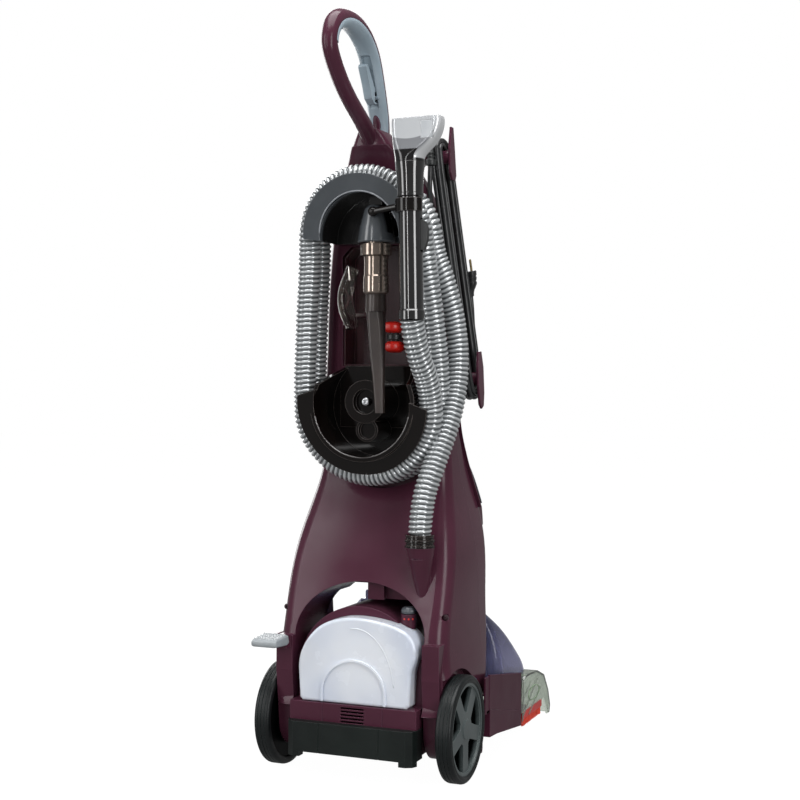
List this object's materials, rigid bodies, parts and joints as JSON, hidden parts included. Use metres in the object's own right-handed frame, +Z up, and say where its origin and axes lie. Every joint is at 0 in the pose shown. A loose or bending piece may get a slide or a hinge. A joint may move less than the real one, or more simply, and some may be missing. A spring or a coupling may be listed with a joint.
{
  "type": "carpet cleaner machine",
  "caption": "Upright carpet cleaning machine with hose and wand on rear hooks, hand tools in a well, tilting handle body on two wheels, removable tanks and twin brush rolls in a clear nozzle.",
  "frame": {"origin": "middle of the machine's box at floor level, under the base", "axes": "+Z up, +Y towards the suction nozzle, -Y towards the person pushing, +X that person's right"},
  "size_m": [0.302, 0.5929, 1.0808],
  "materials": {
    "maroon_shell": "gloss",
    "maroon_panel": "gloss",
    "black_gloss": "gloss",
    "gray_gloss": "gloss",
    "silver_head": "satin",
    "grip_gray": "satin",
    "black_matte": "satin",
    "tire_rubber": "matte",
    "hub_gray": "satin",
    "steel": "brushed",
    "tank_white": "gloss",
    "tank_tint": "gloss",
    "bladder_film": "satin",
    "clear_plastic": "gloss",
    "brush_red": "matte",
    "brush_roll": "matte",
    "tool_bronze": "gloss",
    "bail_gray": "satin",
    "hose_gray": "gloss",
    "cord_black": "satin"
  },
  "bodies": {
    "base": {"chassis_pan": "maroon_panel", "base_cover": "maroon_panel", "motor_cover": "maroon_shell", "rear_bumper": "black_matte", "pivot_bushes": "black_matte", "rear_axle": "steel", "nozzle_cover": "clear_plastic", "edge_brushes": "brush_red", "brush_belt": "tire_rubber", "brush_motor": "black_matte", "vacuum_motor": "black_matte", "pump": "black_matte"},
    "upright": {"rear_shell": "maroon_shell", "front_cover": "maroon_shell", "front_panel": "maroon_panel", "front_trim": "silver_head", "tool_well": "maroon_shell", "upper_hose_hook": "gray_gloss", "lower_hose_hook": "black_gloss", "shell_screws": "steel", "wand_clip": "black_gloss", "handle_left": "maroon_shell", "handle_right": "maroon_shell", "grip_inlay": "grip_gray", "trigger_spring": "steel", "pedal_spring": "steel", "cord_hook_lower": "maroon_shell", "strain_relief": "black_matte", "vac_hose": "hose_gray", "hose_cuff": "black_gloss", "wand_tube": "black_gloss", "tool_head": "silver_head", "tool_window": "clear_plastic", "cord_tube": "cord_black", "cord_hank": "cord_black", "cord_tail": "cord_black", "mains_plug": "black_matte"},
    "wheel_left": {"tire_left": "tire_rubber", "hub_left": "hub_gray"},
    "wheel_right": {"tire_right": "tire_rubber", "hub_right": "hub_gray"},
    "castor_left": {"front_wheel_left": "black_matte"},
    "castor_right": {"front_wheel_right": "black_matte"},
    "brush_rear": {"brush_roll_rear": "brush_roll"},
    "brush_front": {"brush_roll_front": "brush_roll"},
    "brush_drive": {"motor_pulley": "black_matte"},
    "fan": {"fan_impeller": "black_matte"},
    "trigger": {"spray_trigger": "grip_gray"},
    "lever": {"spray_lever": "black_matte"},
    "pedal": {"foot_pedal": "grip_gray"},
    "rocker": {"power_rocker": "grip_gray"},
    "hook_upper": {"cord_hook_upper": "maroon_shell"},
    "solution_tank": {"formula_tank": "tank_white"},
    "knob": {"formula_knob": "gray_gloss"},
    "water_tank": {"front_tank": "tank_tint", "tank_bladder": "bladder_film"},
    "tank_bail": {"tank_handle": "bail_gray"},
    "crevice": {"crevice_tool": "tool_bronze"},
    "curved": {"curved_tool": "clear_plastic"},
    "stain": {"stain_brush": "brush_red"}
  },
  "joints": [
    {"name": "upright_recline", "type": "hinge", "parent": "base", "child": "upright", "pos_m": [0, -0.12955, 0.076], "axis": [1, 0, 0], "range_deg": [0, 45]},
    {"name": "wheel_left_spin", "type": "hinge", "parent": "base", "child": "wheel_left", "pos_m": [-0.139, -0.12955, 0.076], "axis": [1, 0, 0], "continuous": true},
    {"name": "wheel_right_spin", "type": "hinge", "parent": "base", "child": "wheel_right", "pos_m": [0.139, -0.12955, 0.076], "axis": [1, 0, 0], "continuous": true},
    {"name": "castor_left_spin", "type": "hinge", "parent": "base", "child": "castor_left", "pos_m": [-0.11, 0.00045, 0.014], "axis": [1, 0, 0], "continuous": true},
    {"name": "castor_right_spin", "type": "hinge", "parent": "base", "child": "castor_right", "pos_m": [0.11, 0.00045, 0.014], "axis": [1, 0, 0], "continuous": true},
    {"name": "belt_pulley_spin", "type": "hinge", "parent": "base", "child": "brush_drive", "pos_m": [-0.134, 0.06745, 0.064], "axis": [1, 0, 0], "continuous": true},
    {"name": "brush_rear_spin", "type": "hinge", "parent": "base", "child": "brush_rear", "pos_m": [0, 0.15745, 0.027], "axis": [1, 0, 0], "continuous": true},
    {"name": "brush_front_spin", "type": "hinge", "parent": "base", "child": "brush_front", "pos_m": [0, 0.21045, 0.027], "axis": [1, 0, 0], "continuous": true},
    {"name": "fan_spin", "type": "hinge", "parent": "base", "child": "fan", "pos_m": [0.018, -0.07755, 0.12], "axis": [0, 0, 1], "continuous": true},
    {"name": "trigger_pull", "type": "hinge", "parent": "upright", "child": "trigger", "pos_m": [0, -0.13555, 0.976], "axis": [-1, 0, 0], "range_deg": [0, 8], "stiffness_Nm_per_rad": 0.5, "springref_deg": -2.86},
    {"name": "lever_press", "type": "hinge", "parent": "upright", "child": "lever", "pos_m": [0.105, -0.20462, 0.78629], "axis": [-0.0001, 1, 0.008], "range_deg": [0, 5], "stiffness_Nm_per_rad": 0.3, "springref_deg": -2.86},
    {"name": "pedal_press", "type": "hinge", "parent": "upright", "child": "pedal", "pos_m": [-0.117, -0.19105, 0.192], "axis": [1, 0, 0], "range_deg": [0, 16], "stiffness_Nm_per_rad": 2, "springref_deg": -5.73},
    {"name": "rocker_tip", "type": "hinge", "parent": "upright", "child": "rocker", "pos_m": [0, -0.01055, 0.496], "axis": [1, 0, 0], "range_deg": [0, 6]},
    {"name": "cord_hook_turn", "type": "hinge", "parent": "upright", "child": "hook_upper", "pos_m": [0.08, -0.08555, 0.893], "axis": [1, 0, 0], "range_deg": [0, 180]},
    {"name": "solution_tank_out", "type": "slide", "parent": "base", "child": "solution_tank", "axis": [0, -1, 0], "range_m": [0, 0.025]},
    {"name": "formula_dial", "type": "hinge", "parent": "base", "child": "knob", "pos_m": [0.069, -0.15555, 0.24], "axis": [0, 0, 1], "range_deg": [0, 90]},
    {"name": "water_tank_out", "type": "slide", "parent": "base", "child": "water_tank", "axis": [0, 0, 1], "range_m": [0, 0.08]},
    {"name": "tank_bail_swing", "type": "hinge", "parent": "water_tank", "child": "tank_bail", "pos_m": [0, 0.05845, 0.23], "axis": [1, 0, 0], "range_deg": [-70, 0]},
    {"name": "crevice_tool_out", "type": "slide", "parent": "upright", "child": "crevice", "axis": [0, 0, -1], "range_m": [0, 0.03]},
    {"name": "curved_tool_out", "type": "slide", "parent": "upright", "child": "curved", "axis": [0, -1, 0], "range_m": [0, 0.06]},
    {"name": "stain_brush_out", "type": "slide", "parent": "upright", "child": "stain", "axis": [0, -1, 0], "range_m": [0, 0.018]}
  ],
  "couplings": [
    {"joint": "brush_rear_spin", "follows": "belt_pulley_spin", "ratio": 1.125},
    {"joint": "brush_front_spin", "follows": "belt_pulley_spin", "ratio": 1.125}
  ]
}
